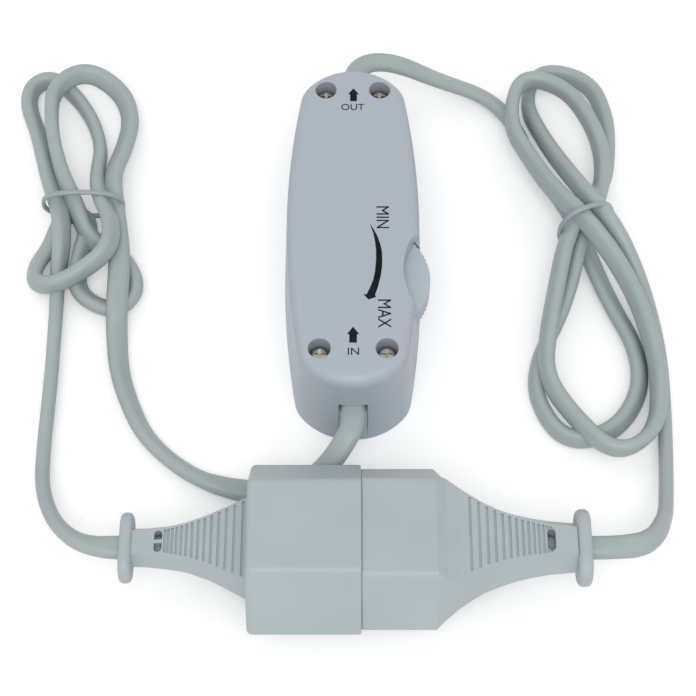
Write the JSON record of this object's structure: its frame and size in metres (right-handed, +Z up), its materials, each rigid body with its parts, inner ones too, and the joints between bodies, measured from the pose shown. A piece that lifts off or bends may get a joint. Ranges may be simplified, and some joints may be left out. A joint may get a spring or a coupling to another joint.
{
  "type": "inline cord dimmer",
  "caption": "Hand-held inline lamp dimmer with a side thumbwheel, on a flat extension cord in two tied hanks, with a two-pin contour plug seated in its own trailing socket.",
  "frame": {"origin": "middle of the dimmer casing's flat underside, on the surface that everything lies on", "axes": "+Z up out of the marked face, +Y towards the end marked OUT, +X towards the dial's side"},
  "size_m": [0.1508, 0.1489, 0.0246],
  "materials": {
    "case_plastic": "satin moulded shell, fine mould texture",
    "case_base": "matt moulded base",
    "dial_plastic": "satin moulded wheel with a knurled rim",
    "screw_metal": "nickel-washed brass, worn",
    "small_screws": "bright zinc",
    "board_laminate": "paper laminate with tinned tracks",
    "pot_can": "pressed can",
    "pot_track": "phenolic wafer with a carbon track",
    "pot_shaft": "moulded shaft",
    "spring_metal": "spring brass",
    "ferrite": "powder core with a yellow coat",
    "enamelled_wire": "enamelled copper",
    "film_capacitor": "potted box",
    "small_capacitor": "dipped",
    "resistor_coat": "lacquered body with plain colour bands",
    "diac_glass": "glass body",
    "fuse_glass": "glass tube",
    "fuse_metal": "nickel plate",
    "triac_epoxy": "moulded epoxy",
    "sink_metal": "mill finish",
    "terminal_plastic": "moulded nylon",
    "conductor_cover": "plain coloured insulation",
    "connector_vinyl": "soft vinyl overmould, satin",
    "insert_plastic": "moulded nylon insert",
    "pin_metal": "nickel-plated brass",
    "cord_vinyl": "flexible vinyl sheath, satin",
    "tie_vinyl": "flat plastic-coated tie"
  },
  "bodies": {
    "housing": {"upper_case": "case_plastic", "lower_case": "case_base", "case_screws": "screw_metal", "input_cord_grip": "case_base", "output_cord_grip": "case_base", "circuit_board": "board_laminate", "board_screws": "small_screws", "potentiometer_track": "pot_track", "potentiometer_can": "pot_can", "potentiometer_pins": "spring_metal", "choke_core": "ferrite", "choke_winding": "enamelled_wire", "suppression_capacitor": "film_capacitor", "timing_capacitor": "small_capacitor", "resistors": "resistor_coat", "diac": "diac_glass", "fuse_tube": "fuse_glass", "fuse_caps": "fuse_metal", "triac": "triac_epoxy", "heat_sink": "sink_metal", "input_terminal_block": "terminal_plastic", "output_terminal_block": "terminal_plastic", "terminal_screws": "small_screws", "input_conductors": "conductor_cover", "output_conductors": "conductor_cover", "plug_body": "connector_vinyl", "plug_core": "insert_plastic", "plug_pins": "pin_metal", "plug_conductors": "conductor_cover", "in_cord_case_end": "cord_vinyl", "in_cord_lead": "cord_vinyl", "in_cord_hank": "cord_vinyl", "in_cord_plug_lead": "cord_vinyl", "in_cord_plug_end": "cord_vinyl", "in_hank_tie": "tie_vinyl", "out_cord_case_end": "cord_vinyl", "out_cord_lead": "cord_vinyl", "out_cord_hank": "cord_vinyl", "out_cord_socket_lead": "cord_vinyl", "out_hank_tie": "tie_vinyl"},
    "dial": {"dial_wheel": "dial_plastic", "potentiometer_shaft": "pot_shaft", "wiper": "spring_metal"},
    "socket": {"socket_body": "connector_vinyl", "socket_core": "insert_plastic", "socket_contacts": "spring_metal", "socket_conductors": "conductor_cover", "out_cord_socket_end": "cord_vinyl"}
  },
  "joints": [
    {"name": "dial_turn", "type": "hinge", "parent": "housing", "child": "dial", "pos_m": [0.0027, -0.013, 0.0175], "axis": [0, 0, -1], "range_deg": [0, 270]},
    {"name": "socket_pull_off", "type": "slide", "parent": "housing", "child": "socket", "axis": [1, 0, 0], "range_m": [0, 0.02], "deforming": ["out_cord_socket_lead"]}
  ]
}
